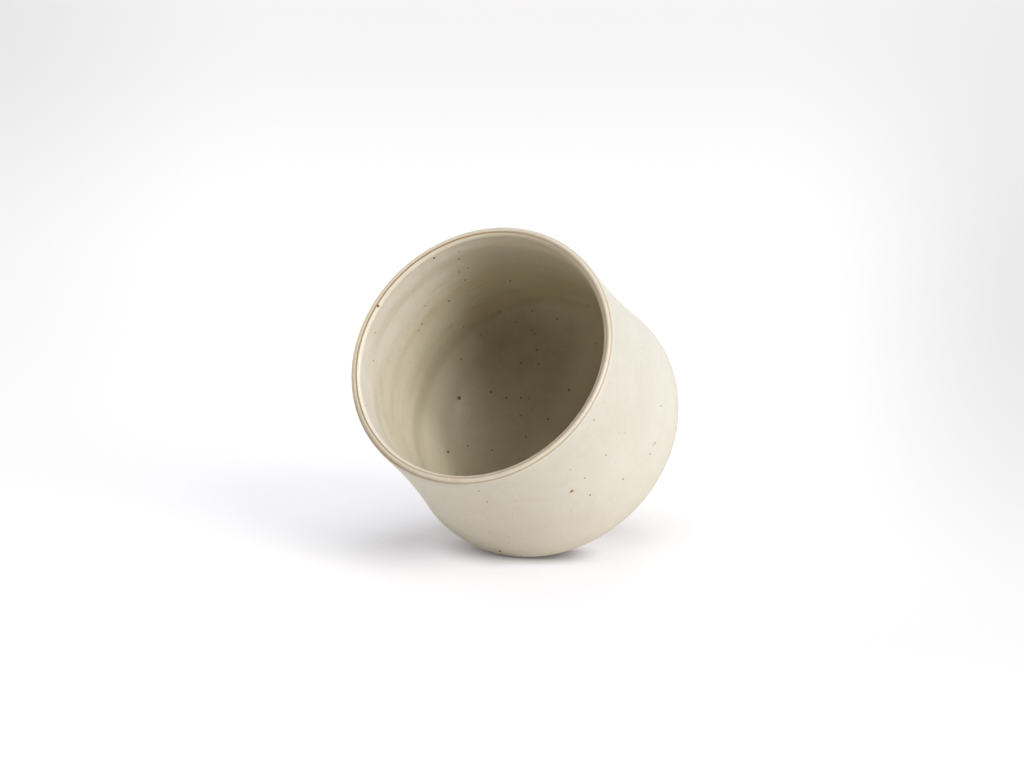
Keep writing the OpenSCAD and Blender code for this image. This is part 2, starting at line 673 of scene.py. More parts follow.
class PointTree:
    """A Geometry Nodes tree that makes a piece out of points with attributes.

    The piece's own mesh holds the points. The tree is built once, for every piece of its kind.
    NAME is the tree's name, INPUTS are its inputs with their types, and VECTORS are the
    attributes that hold a vector. The others hold a number.

    Attributes:
        tree: The tree.
        ids: Identifiers of its inputs, by name.
        given: Sockets that give its inputs to the nodes, by name.
    """

    NAME = ""
    INPUTS: tuple[tuple[str, str], ...] = ()
    VECTORS: tuple[str, ...] = ()

    def __init__(self) -> None:
        """Build the tree: its inputs, the shape of the piece and its finish."""
        self.tree = bpy.data.node_groups.new(self.NAME, "GeometryNodeTree")
        self.kit = TreeKit(self.tree)
        self.ids: dict[str, str] = {}
        for name, kind in (("Geometry", "Geometry"), *self.INPUTS, ("Finish", "Material")):
            self.ids[name] = self.opened(name, kind, "INPUT")
        self.opened("Geometry", "Geometry", "OUTPUT")
        self.given = self.kit.add("NodeGroupInput").outputs
        smooth = self.kit.value("GeometryNodeSetShadeSmooth", {"Geometry": self.shaped()})
        real = self.kit.value("GeometryNodeRealizeInstances", {"Geometry": smooth})
        inputs = {"Geometry": real, "Material": self.given["Finish"]}
        self.kit.add("NodeGroupOutput", {0: self.kit.value("GeometryNodeSetMaterial", inputs)})

    def opened(self, name: str, kind: str, side: str) -> str:
        """Add a socket to the tree's INPUT or OUTPUT side, and return its identifier."""
        sockets = self.tree.interface
        return sockets.new_socket(name, in_out=side, socket_type="NodeSocket" + kind).identifier

    def shaped(self) -> Socket:
        """Add the nodes that shape the piece, and return its geometry."""
        raise NotImplementedError

    def kind(self, name: str) -> str:
        """Return the type of an attribute."""
        return "FLOAT_VECTOR" if name in self.VECTORS else "FLOAT"

    def position(self) -> Socket:
        """Return the place of each point."""
        return self.kit.value("GeometryNodeInputPosition")

    def named(self, name: str) -> Socket:
        """Return an attribute of each point."""
        inputs = {"Name": name}
        return self.kit.value("GeometryNodeInputNamedAttribute", inputs, data_type=self.kind(name))

    def stored(self, geometry: Any, name: str, value: Any) -> Socket:
        """Return geometry that keeps a value as an attribute of its points."""
        inputs = {"Geometry": geometry, "Name": name, "Value": value}
        return self.kit.value("GeometryNodeStoreNamedAttribute", inputs, data_type=self.kind(name))

    def make(
        self, name: str, places: list[Any], known: dict[str, list[Any]], inputs: dict[str, Any]
    ) -> bpy.types.Object:
        """Make one piece.

        Args:
            name: Name of the piece.
            places: Where its points are, in metres.
            known: The points' attributes by name, with a number or a vector for each point.
            inputs: Values of the tree's inputs, by name.

        Returns:
            The finished piece, a plain mesh.
        """
        mesh = bpy.data.meshes.new(name)
        mesh.from_pydata(places, [], [])
        for key, values in known.items():
            layer = mesh.attributes.new(key, self.kind(key), "POINT")
            if key in self.VECTORS:
                layer.data.foreach_set("vector", [part for value in values for part in value])
            else:
                layer.data.foreach_set("value", values)
        piece = bpy.data.objects.new(name, mesh)
        bpy.context.scene.collection.objects.link(piece)
        modifier = piece.modifiers.new(self.NAME, "NODES")
        modifier.node_group = self.tree
        for key, value in inputs.items():
            modifier[self.ids[key]] = value
        bake(piece)
        return piece


class TurnedForm(PointTree):
    """Turns an outline on the wheel.

    Its points are an outline, with the attributes of Station. The tree sweeps them round Z,
    presses in the throwing rings as one spiral, lets the glaze edges creep and makes the whole
    form a little uneven, as a hand does. UNITS are the units of the stations' numbers.

    Attributes:
        share: Share of a full turn at each point of the grid.
        row: Number of the outline's point that is there.
        cosine: Cosine of the turn.
        sine: Sine of the turn.
    """

    share: Socket
    row: Socket
    cosine: Socket
    sine: Socket

    NAME = "turned_form"
    INPUTS = (
        ("Around", "Int"),
        ("Ring Height", "Float"),
        ("Ring Pitch", "Float"),
        ("Wobble", "Float"),
        ("Creep", "Float"),
        ("Seed", "Float"),
    )
    VECTORS = ("position", "outward", "flow")
    UNITS = {"ring": 1.0, "along": MM, "edge": MM, "shown": 1.0}
    FULL_TURN = 2 * math.pi
    HALF = 0.5
    WOBBLE_TURNS = 0.7
    WOBBLE_RISE = 14.0
    WOBBLE_DETAIL = 1.0
    CREEP_TURNS = 5.0
    CREEP_DETAIL = 3.0
    POLE_R = 0.015
    WELD = 2e-6

    def shaped(self) -> Socket:
        """Sweep the outline round the axis and make it uneven.

        Returns:
            The socket with the turned form.
        """
        kit = self.kit
        carried = self.grid()
        place = self.sampled("position")
        around = kit.joined(self.cosine, self.sine)
        uneven = kit.vector("ADD", self.bulge(place, around), self.crept(around))
        uneven = kit.vector("ADD", uneven, self.pressed())
        final = kit.vector("ADD", self.swept(place), uneven)
        for name in ("edge", "shown"):
            carried = self.stored(carried, name, self.sampled(name))
        turned = kit.value("GeometryNodeSetPosition", {"Geometry": carried, "Position": final})
        return kit.value("GeometryNodeMergeByDistance", {"Geometry": turned, "Distance": self.WELD})

    def grid(self) -> Socket:
        """Lay a flat grid, and find the row and the turn of each of its points.

        Returns:
            The socket with the grid, which has a row for each point of the outline.
        """
        kit = self.kit
        size = kit.add("GeometryNodeAttributeDomainSize", {0: self.given["Geometry"]}, component="MESH")
        rows = size.outputs["Point Count"]
        columns = kit.math("ADD", self.given["Around"], 1.0)
        flat = kit.value("GeometryNodeMeshGrid", {0: 1.0, 1: 1.0, 2: columns, 3: rows})
        cell = kit.split(self.position())
        self.share = kit.math("ADD", cell["X"], self.HALF)
        up = kit.math("ADD", cell["Y"], self.HALF)
        self.row = kit.math("ROUND", kit.product(up, kit.math("SUBTRACT", rows, 1.0)))
        angle = kit.product(self.share, self.FULL_TURN)
        self.cosine = kit.math("COSINE", angle)
        self.sine = kit.math("SINE", angle)
        return flat

    def sampled(self, name: str) -> Socket:
        """Return an attribute of the outline, at the grid's own row."""
        inputs = {"Geometry": self.given["Geometry"], "Value": self.named(name), "Index": self.row}
        return self.kit.value("GeometryNodeSampleIndex", inputs, data_type=self.kind(name))

    def swept(self, flat: Any) -> Socket:
        """Turn a vector of the outline's plane round the axis.

        Args:
            flat: Socket with the vector, its radius as X and its height as Z.

        Returns:
            The socket with the turned vector.
        """
        parts = self.kit.split(flat)
        x = self.kit.product(parts["X"], self.cosine)
        y = self.kit.product(parts["X"], self.sine)
        return self.kit.joined(x, y, parts["Z"])

    def wander(self, place: Any, size: Any, detail: float) -> Socket:
        """Make seeded noise about zero.

        Args:
            place: Socket with the place in the noise.
            size: How far it goes each way.
            detail: How many layers of finer waves it has.

        Returns:
            The socket with the noise.
        """
        inputs = {"Vector": place, "W": self.given["Seed"], "Scale": 1.0, "Detail": detail}
        noise = self.kit.value("ShaderNodeTexNoise", inputs, noise_dimensions="4D")
        return self.kit.product(self.kit.math("MULTIPLY_ADD", noise, 2.0, -1.0), size)

    def bulge(self, place: Any, around: Any) -> Socket:
        """Find how far the form wanders from round, which is nothing on the axis.

        Args:
            place: Socket with the place on the outline.
            around: Socket with the direction away from the axis.

        Returns:
            The socket with the shift.
        """
        kit = self.kit
        parts = kit.split(place)
        rise = kit.joined(z=kit.product(parts["Z"], self.WOBBLE_RISE))
        where = kit.vector("ADD", kit.scaled(around, self.WOBBLE_TURNS), rise)
        wobble = self.wander(where, self.given["Wobble"], self.WOBBLE_DETAIL)
        return kit.scaled(around, kit.product(wobble, kit.ramp(parts["X"], 0.0, self.POLE_R)))

    def crept(self, around: Any) -> Socket:
        """Find how far the glaze edges creep.

        Args:
            around: Socket with the direction away from the axis.

        Returns:
            The socket with the shift.
        """
        where = self.kit.scaled(around, self.CREEP_TURNS)
        creep = self.wander(where, self.given["Creep"], self.CREEP_DETAIL)
        return self.kit.scaled(self.swept(self.sampled("flow")), creep)

    def pressed(self) -> Socket:
        """Find how far the throwing rings stand out, as one spiral.

        Returns:
            The socket with the shift.
        """
        kit = self.kit
        steps = kit.math("DIVIDE", self.sampled("along"), self.given["Ring Pitch"])
        phase = kit.math("ADD", steps, self.share)
        wave = kit.math("COSINE", kit.product(phase, self.FULL_TURN))
        swell = kit.math("MULTIPLY_ADD", wave, -self.HALF, self.HALF)
        height = kit.product(swell, self.sampled("ring"), self.given["Ring Height"])
        return kit.scaled(self.swept(self.sampled("outward")), height)

    def turn(self, name: str, stations: list[Station], inputs: dict[str, Any]) -> bpy.types.Object:
        """Turn one piece.

        Args:
            name: Name of the piece.
            stations: The piece's outline.
            inputs: Values of the tree's inputs, by name.

        Returns:
            The finished piece, a closed shell.
        """
        places = [(r * MM, 0.0, z * MM) for r, z in (station.place for station in stations)]
        known: dict[str, list[Any]] = {}
        for key in ("outward", "flow"):
            known[key] = [(r, 0.0, z) for r, z in (getattr(station, key) for station in stations)]
        for key, unit in self.UNITS.items():
            known[key] = [getattr(station, key) * unit for station in stations]
        piece = self.make(name, places, known, inputs)
        close_shell(piece.data)
        return piece


@dataclass(frozen=True)
class Glaze:
    """A satin glaze with iron in it, on stoneware.

    Attributes:
        name: Name of the material.
        cream: Main colour.
        pale: Colour where the glaze lies thicker.
        tan: Colour of its grains and of thin places.
        brown: Colour where the glaze breaks at an edge.
        break_w: Width of the brown beside an edge, in metres.
        break_share: How strongly the brown shows there, 0 to 1.
        roughness: Roughness of the surface.
        clot_share: How strongly the tan clots show, 0 to 1.
        grain_share: How strongly the tan grains show, 0 to 1.
    """

    name: str
    cream: Colour
    pale: Colour
    tan: Colour
    brown: Colour
    break_w: float = 0.25 * MM
    break_share: float = 0.5
    roughness: float = 0.5
    clot_share: float = 0.13
    grain_share: float = 0.22

    MOTTLE = Pattern(42.0, 0.3, 0.72, 4.0, 0.6)
    GLOSS = Pattern(42.0, 0.2, 0.8, 4.0, 0.6)
    GLOSS_SPAN = 0.06
    CLOTS = Pattern(260.0, 0.35, 0.75, 3.0, 0.6)
    GRAINS = Pattern(1100.0, 0.55, 0.75)
    RAGGED = Pattern(160.0, 0.25, 0.75, 3.0)
    RAGGED_SHARE = (0.45, 1.3)
    PEEL = Pattern(420.0, detail=3.0, rough=0.6)
    PEEL_H = 0.06 * MM
    PEEL_STRENGTH = 0.5
    PIT_SCALE = 230.0
    PIT_LUCK = (0.72, 1.0)
    PIT_W = 0.07
    PIT_H = 0.1 * MM
    PIT_STRENGTH = 0.6
    PIT_SHARE = 0.55

    def material(self) -> bpy.types.Material:
        """Build the material.

        Returns:
            The glaze's material.
        """
        made, kit = new_material(self.name)
        place = kit.place()
        colour = kit.blend(self.MOTTLE.shown(kit, place), linear(self.cream), linear(self.pale))
        colour = self.tinted(kit, place, colour)
        colour = kit.blend(self.edges(kit, place), colour, linear(self.brown))
        clots = self.CLOTS.shown(kit, place, 0.0, self.clot_share)
        colour = kit.blend(clots, colour, linear(self.tan))
        grains = self.GRAINS.shown(kit, place, 0.0, self.grain_share)
        colour = kit.blend(grains, colour, linear(self.tan))
        pits = self.pits(kit, place)
        colour = kit.blend(kit.product(pits, self.PIT_SHARE), colour, linear(self.brown))
        gloss = (self.roughness - self.GLOSS_SPAN, self.roughness + self.GLOSS_SPAN)
        rough = self.GLOSS.shown(kit, place, *gloss)
        kit.satin(colour, rough, Normal=self.relief(kit, place, pits))
        return made

    def tinted(self, kit: TreeKit, place: Any, colour: Any) -> Socket:
        """Return the colour with the marks that only this coat has, which a plain coat lacks."""
        return colour

    def edges(self, kit: TreeKit, place: Any) -> Socket:
        """Find how much brown shows beside the coat's edges.

        Args:
            kit: Kit of the material's tree.
            place: Socket with the place on the cup.

        Returns:
            The socket with the share of brown, 0 to 1.
        """
        reach = kit.product(self.RAGGED.shown(kit, place, *self.RAGGED_SHARE), self.break_w)
        away = kit.math("DIVIDE", kit.attribute("edge"), reach)
        return kit.ramp(away, 0.0, 1.0, self.break_share, 0.0)

    def pits(self, kit: TreeKit, place: Any) -> Socket:
        """Find the pinholes that gas leaves in the glaze.

        Args:
            kit: Kit of the material's tree.
            place: Socket with the place on the cup.

        Returns:
            The socket with 1 in a pinhole and 0 elsewhere.
        """
        inputs = {"Vector": place, "Scale": self.PIT_SCALE, "Randomness": 1.0}
        cells = kit.add("ShaderNodeTexVoronoi", inputs)
        luck = kit.value("ShaderNodeSeparateColor", {0: cells.outputs["Color"]})
        size = kit.ramp(luck, *self.PIT_LUCK, 0.0, self.PIT_W)
        return kit.math("LESS_THAN", cells.outputs["Distance"], size)

    def relief(self, kit: TreeKit, place: Any, pits: Any) -> Socket:
        """Build the fine relief of the glaze.

        Args:
            kit: Kit of the material's tree.
            place: Socket with the place on the cup.
            pits: Socket with the pinholes.

        Returns:
            The socket with the normal.
        """
        peel = self.PEEL.noise(kit, place)
        inputs = {"Strength": self.PEEL_STRENGTH, "Distance": self.PEEL_H, "Height": peel}
        soft = kit.value("ShaderNodeBump", inputs)
        inputs = {"Strength": self.PIT_STRENGTH, "Distance": self.PIT_H, "Height": pits}
        return kit.value("ShaderNodeBump", {**inputs, "Normal": soft}, invert=True)


@dataclass(frozen=True)
class OutsideGlaze(Glaze):
    """The cream coat outside, warmer and darker round the shoulder: partly glaze running thin there,
    partly painted shade of the floor near the heel.

    Attributes:
        shoulder_z: Height of the warm zone, in metres.
        shoulder_w: How far the warm zone reaches up and down, in metres.
        shoulder_share: How warm and dark it gets, 0 to 1; the darkening is partly painted shade.
        cloud_share: How strongly the brushed clouds show, 0 to 1.
    """

    shoulder_z: float = 6 * MM
    shoulder_w: float = 15 * MM
    shoulder_share: float = 0.66
    cloud_share: float = 0.08

    CLOUDS = Pattern(1.0, 0.45, 0.75, 3.0)
    CLOUD_STRETCH = (26.0, 26.0, 60.0)

    def tinted(self, kit: TreeKit, place: Any, colour: Any) -> Socket:
        """Add the brushed clouds and the warm shoulder, which is partly painted shade.

        Args:
            kit: Kit of the material's tree.
            place: Socket with the place on the cup.
            colour: Socket with the plain colour.

        Returns:
            The socket with the tinted colour.
        """
        stretched = kit.vector("MULTIPLY", place, self.CLOUD_STRETCH)
        clouds = self.CLOUDS.shown(kit, stretched, 0.0, self.cloud_share)
        colour = kit.blend(clouds, colour, linear(self.tan))
        # Painted shade: the warm tan round the shoulder also darkens the cup's lower side, where the
        # floor shades it.
        height = kit.split(place)["Z"]
        away = kit.math("ABSOLUTE", kit.math("SUBTRACT", height, self.shoulder_z))
        warm = kit.ramp(away, 0.0, self.shoulder_w, self.shoulder_share, 0.0)
        return kit.blend(warm, colour, linear(self.tan))


@dataclass(frozen=True)
class LipGlaze(Glaze):
    """The pale band on the lip, thinner and tan on one side.

    Attributes:
        thin_side: Direction of the side where it is thin.
        thin_share: How tan it gets there, 0 to 1.
    """

    thin_side: Direction = (-0.8, 0.6, 0.0)
    thin_share: float = 0.6

    THIN_REACH = (0.0, 0.038)

    def tinted(self, kit: TreeKit, place: Any, colour: Any) -> Socket:
        """Return the colour with the tan of the thin side."""
        thin = kit.towards(place, self.thin_side, self.THIN_REACH, 0.0, self.thin_share)
        return kit.blend(thin, colour, linear(self.tan))


@dataclass(frozen=True)
class SideTint:
    """A painted change of colour on one side of the cup: painted shade where it darkens, painted light
    where it lightens.

    Attributes:
        colour: Colour that the glaze takes there.
        share: How strongly it shows, 0 to 1.
        side: Direction of that side.
        reach: How far to that side it starts to show, and how far it shows fully, in metres.
        top: Height at which it ends, and height below which it shows fully, in metres.
        foot: Height at which it starts, and height above which it shows fully, in metres.
    """

    colour: Colour
    share: float
    side: Direction
    reach: Point
    top: Point
    foot: Point

    def laid(self, kit: TreeKit, place: Any, colour: Any) -> Socket:
        """Lay the tint over a colour.

        Args:
            kit: Kit of the material's tree.
            place: Socket with the place on the cup.
            colour: Socket with the colour.

        Returns:
            The socket with the tinted colour.
        """
        height = kit.split(place)["Z"]
        side = kit.towards(place, self.side, self.reach)
        top = kit.ramp(height, *self.top, 0.0, self.share)
        shown = kit.product(side, top, kit.ramp(height, *self.foot))
        return kit.blend(shown, colour, linear(self.colour))


@dataclass(frozen=True)
class LinerGlaze(Glaze):
    """The coat inside: pale at the mouth, banded on the wall and darker on the floor, with painted
    light and shade on its sides.

    Attributes:
        mouth: Colour under the lip.
        bevel: Colour on the bevel.
        floor: Colour on the floor.
        stain_and_shade: Colour of the iron staining at the far side of the floor, which also paints the
            shade that lies on that side.
        stain_and_shade_at: Middle of the staining and its painted shade, in metres.
        stain_and_shade_r: How far they reach, in metres.
        stain_and_shade_share: How strongly they show, 0 to 1.
        band_share: How strongly the bands show, 0 to 1.
        streak_share: How strongly the thin brown streaks in the bands show, 0 to 1.
        break_and_shade_w: Width of the brown edge on the lip's near right side, where the glaze breaks
            brown and painted shade darkens the lip's inner face, in metres.
        break_and_shade_side: Direction of that side.
        painted_shade_side: Painted shade on the wall's side that lies in the lip's shadow.
        painted_light_side: Painted light on the wall's side that the key light falls on, paler there.
        painted_light_floor: Painted light on the near side of the floor.
    """

    mouth: Colour = (226, 219, 205)
    bevel: Colour = (172, 164, 141)
    floor: Colour = (152, 141, 117)
    # Iron staining with painted shade: darkens the far side of the bevel and floor, which lies in
    # shadow.
    stain_and_shade: Colour = (112, 92, 64)
    stain_and_shade_at: Direction = (0.014, 0.030, 0.016)
    stain_and_shade_r: float = 26 * MM
    stain_and_shade_share: float = 0.48
    band_share: float = 0.45
    streak_share: float = 0.45
    break_and_shade_w: float = 0.8 * MM
    break_and_shade_side: Direction = (0.5, -0.85, 0.0)
    # Painted shade: darkens the upper wall, which the lip shades from the key light.
    painted_shade_side: SideTint = SideTint(
        colour=(150, 139, 113),
        share=0.5,
        side=(0.89, 0.46, 0.0),
        reach=(0.018, 0.036),
        top=(0.0655, 0.0585),
        foot=(0.018, 0.034),
    )
    # Painted light: lightens the lower left wall and bevel, where the key light falls.
    painted_light_side: SideTint = SideTint(
        colour=(224, 216, 194),
        share=0.45,
        side=(-0.99, 0.1, 0.0),
        reach=(0.024, 0.033),
        top=(0.06, 0.046),
        foot=(0.011, 0.017),
    )
    # Painted light: lightens the near side of the floor inside the cup.
    painted_light_floor: SideTint = SideTint(
        colour=(185, 173, 145),
        share=0.7,
        side=(0.35, -0.94, 0.0),
        reach=(-0.008, 0.004),
        top=(0.02, 0.013),
        foot=(0.0, 0.001),
    )

    BANDS = Pattern(1.0, 0.4, 0.72, 2.5)
    BAND_STRETCH = (20.0, 20.0, 130.0)
    BAND_Z = (0.016, 0.026)
    STREAKS = Pattern(1.0, 0.56, 0.7, 3.0, 0.6)
    STREAK_STRETCH = (90.0, 90.0, 620.0)
    PATCHES = Pattern(55.0, 0.48, 0.62)
    STAIN_AND_SHADE_EDGE = Pattern(90.0, detail=3.0)
    STAIN_AND_SHADE_FADE = (0.5, 1.5)
    BREAK_AND_SHADE_REACH = (-0.012, 0.012)
    BREAK_AND_SHADE_SHARE = 0.5
    MOUTH_Z = (0.04, 0.062)
    BEVEL_Z = (0.027, 0.019)
    FLOOR_Z = (0.018, 0.010)

    def edges(self, kit: TreeKit, place: Any) -> Socket:
        """Find how much brown shows beside the lip, most on its near right side, where it is partly
        painted shade.

        Args:
            kit: Kit of the material's tree.
            place: Socket with the place on the cup.

        Returns:
            The socket with the share of brown, 0 to 1.
        """
        # Painted shade: a wider brown strip at the lip on the near right side, where its inner face
        # lies in shadow.
        side = kit.towards(place, self.break_and_shade_side, self.BREAK_AND_SHADE_REACH)
        near = kit.ramp(kit.attribute("edge"), 0.0, self.break_and_shade_w, self.BREAK_AND_SHADE_SHARE, 0.0)
        return kit.math("MAXIMUM", kit.product(near, side), super().edges(kit, place))

    def tinted(self, kit: TreeKit, place: Any, colour: Any) -> Socket:
        """Add the change of colour from the mouth to the floor, the iron staining and its painted
        shade, the painted light and shade of the sides, and the bands.

        Args:
            kit: Kit of the material's tree.
            place: Socket with the place on the cup.
            colour: Socket with the plain colour.

        Returns:
            The socket with the tinted colour.
        """
        height = kit.split(place)["Z"]
        zones = ((self.MOUTH_Z, self.mouth), (self.BEVEL_Z, self.bevel), (self.FLOOR_Z, self.floor))
        for zone, shade in zones:
            colour = kit.blend(kit.ramp(height, *zone), colour, linear(shade))
        colour = kit.blend(self.stained_and_shaded(kit, place), colour, linear(self.stain_and_shade))
        # Painted shade on the wall's shaded side, painted light on its lit side and on the near floor.
        for tint in (self.painted_shade_side, self.painted_light_side, self.painted_light_floor):
            colour = tint.laid(kit, place, colour)
        on_wall = kit.ramp(height, *self.BAND_Z)
        stretched = kit.vector("MULTIPLY", place, self.BAND_STRETCH)
        bands = self.BANDS.shown(kit, stretched, 0.0, self.band_share)
        colour = kit.blend(kit.product(bands, on_wall), colour, linear(self.tan))
        stretched = kit.vector("MULTIPLY", place, self.STREAK_STRETCH)
        streaks = self.STREAKS.shown(kit, stretched, 0.0, self.streak_share)
        streaks = kit.product(streaks, self.PATCHES.shown(kit, place), on_wall)
        return kit.blend(streaks, colour, linear(self.brown))

    def stained_and_shaded(self, kit: TreeKit, place: Any) -> Socket:
        """Find how much of the iron staining and its painted shade shows.

        Args:
            kit: Kit of the material's tree.
            place: Socket with the place on the cup.

        Returns:
            The socket with the share of staining and painted shade, 0 to 1.
        """
        away = kit.vector("LENGTH", kit.vector("SUBTRACT", place, self.stain_and_shade_at))
        patch = kit.math("MULTIPLY_ADD", self.STAIN_AND_SHADE_EDGE.noise(kit, place), self.stain_and_shade_r, away)
        fade = [self.stain_and_shade_r * share for share in self.STAIN_AND_SHADE_FADE]
        return kit.ramp(patch, *fade, self.stain_and_shade_share, 0.0)


@dataclass(frozen=True)
class Clay:
    """Bare stoneware, sandy on the foot and brown where the lip's glaze runs thin.

    Attributes:
        name: Name of the material.
        buff: Main colour of the clay.
        dark: Colour of its coarser grains.
        lip: Colour of the thin glaze at the lip's bare lines.
        lip_brown: Its colour on the side where it ran off the inner line.
    """

    name: str = "stoneware_clay"
    buff: Colour = (190, 165, 136)
    dark: Colour = (122, 96, 74)
    lip: Colour = (186, 170, 146)
    lip_brown: Colour = (156, 130, 94)

    CLOUDS = Pattern(70.0, 0.3, 0.7, 4.0)
    CLOUD_SHARE = 0.35
    GRIT = Pattern(1300.0, 0.58, 0.72)
    GRIT_SHARE = 0.7
    GRIT_H = 0.12 * MM
    GRIT_STRENGTH = 0.7
    LIP_Z = (0.06, 0.064)
    ROUGHNESS = (0.88, 0.55)
    LIP_MID_R = 0.0389
    BROWN_SIDE = (-0.34, 0.94, 0.0)
    BROWN_REACH = (-0.01, 0.03)
    LEVEL = (1.0, 1.0, 0.0)

    def material(self) -> bpy.types.Material:
        """Build the material.

        Returns:
            The clay's material.
        """
        made, kit = new_material(self.name)
        place = kit.place()
        height = kit.split(place)["Z"]
        clouds = self.CLOUDS.shown(kit, place, 0.0, self.CLOUD_SHARE)
        colour = kit.blend(clouds, linear(self.buff), linear(self.dark))
        grit = self.GRIT.shown(kit, place, 0.0, self.GRIT_SHARE)
        colour = kit.blend(grit, colour, linear(self.dark))
        away = kit.vector("LENGTH", kit.vector("MULTIPLY", place, self.LEVEL))
        inner = kit.math("LESS_THAN", away, self.LIP_MID_R)
        side = kit.towards(place, self.BROWN_SIDE, self.BROWN_REACH)
        line = kit.blend(kit.product(inner, side), linear(self.lip), linear(self.lip_brown))
        colour = kit.blend(kit.ramp(height, *self.LIP_Z), colour, line)
        inputs = {"Strength": self.GRIT_STRENGTH, "Distance": self.GRIT_H}
        bump = kit.value("ShaderNodeBump", {**inputs, "Height": self.GRIT.noise(kit, place)})
        kit.satin(colour, kit.ramp(height, *self.LIP_Z, *self.ROUGHNESS), Normal=bump)
        return made


@dataclass(frozen=True)
class PhotoView:
    """The camera at the photograph's viewing angle.

    Attributes:
        eye: Place of the lens in millimetres.
        lean: Angle between the view and the cup's axis, in degrees.
        roll: How far the camera is rolled clockwise, in degrees.
        lens: Focal length in millimetres.
        floor_drop: Angle at which the camera looks down on the floor, in degrees.
    """

    eye: Direction = (1.0, -349.4, 629.8)
    lean: float = 30.78
    roll: float = 42.11
    lens: float = 80.86
    floor_drop: float = 10.7

    NEAREST = 0.01

    def turn(self) -> Matrix:
        """Return the camera's axes, as the columns of a matrix."""
        lean = Matrix.Rotation(math.radians(self.lean), 3, "X")
        return lean @ Matrix.Rotation(-math.radians(self.roll), 3, "Z")

    def place(self) -> Vector:
        """Return the place of the lens."""
        return Vector(self.eye) * MM

    def ray(self, pixel: Point) -> Vector:
        """Find the direction in which a pixel of the photograph looks.

        Args:
            pixel: Place in the photograph, from its upper left corner.

        Returns:
            The unit direction, away from the lens.
        """
        reach = self.lens / SENSOR_W * IMAGE_W
        aim = Vector((pixel[0] - IMAGE_W / 2, IMAGE_H / 2 - pixel[1], -reach))
        return (self.turn() @ aim).normalized()

    def floor_axes(self) -> Matrix:
        """Return the floor's right, back and up, as the columns of a matrix."""
        return self.turn() @ Matrix.Rotation(math.radians(self.floor_drop) - math.pi / 2, 3, "X")

    def build(self) -> None:
        """Create the camera and look through it."""
        camera = bpy.data.cameras.new("photo_view")
        camera.lens = self.lens
        camera.sensor_width = SENSOR_W
        camera.clip_start = self.NEAREST
        holder = bpy.data.objects.new("photo_view", camera)
        holder.matrix_world = Matrix.Translation(self.place()) @ self.turn().to_4x4()
        bpy.context.scene.collection.objects.link(holder)
        bpy.context.scene.camera = holder


@dataclass(frozen=True)
class StudioLight:
    """A large soft light far from the cup.

    Attributes:
        name: Name of the light.
        round_a: Its direction over the floor, in degrees clockwise from straight back.
        rise: Its angle above the floor, in degrees.
        spread: How wide it looks from the cup, in degrees.
        power: Its strength on a surface that faces it, in watts on a square metre.
    """

    name: str
    round_a: float
    rise: float
    spread: float
    power: float

    def way(self) -> Vector:
        """Find the direction to the light.

        Returns:
            The unit direction, as right, back and up over the floor.
        """
        turn = math.radians(self.round_a)
        up = math.radians(self.rise)
        return Vector((math.sin(turn) * math.cos(up), math.cos(turn) * math.cos(up), math.sin(up)))

    def build(self, axes: Matrix) -> None:
        """Create the light.

        Args:
            axes: The floor's right, back and up, as the columns of a matrix.
        """
        lamp = bpy.data.lights.new(self.name, "SUN")
        lamp.angle = math.radians(self.spread)
        lamp.energy = self.power
        holder = bpy.data.objects.new(self.name, lamp)
        holder.matrix_world = (axes @ self.way()).to_track_quat("Z", "Y").to_matrix().to_4x4()
        bpy.context.scene.collection.objects.link(holder)


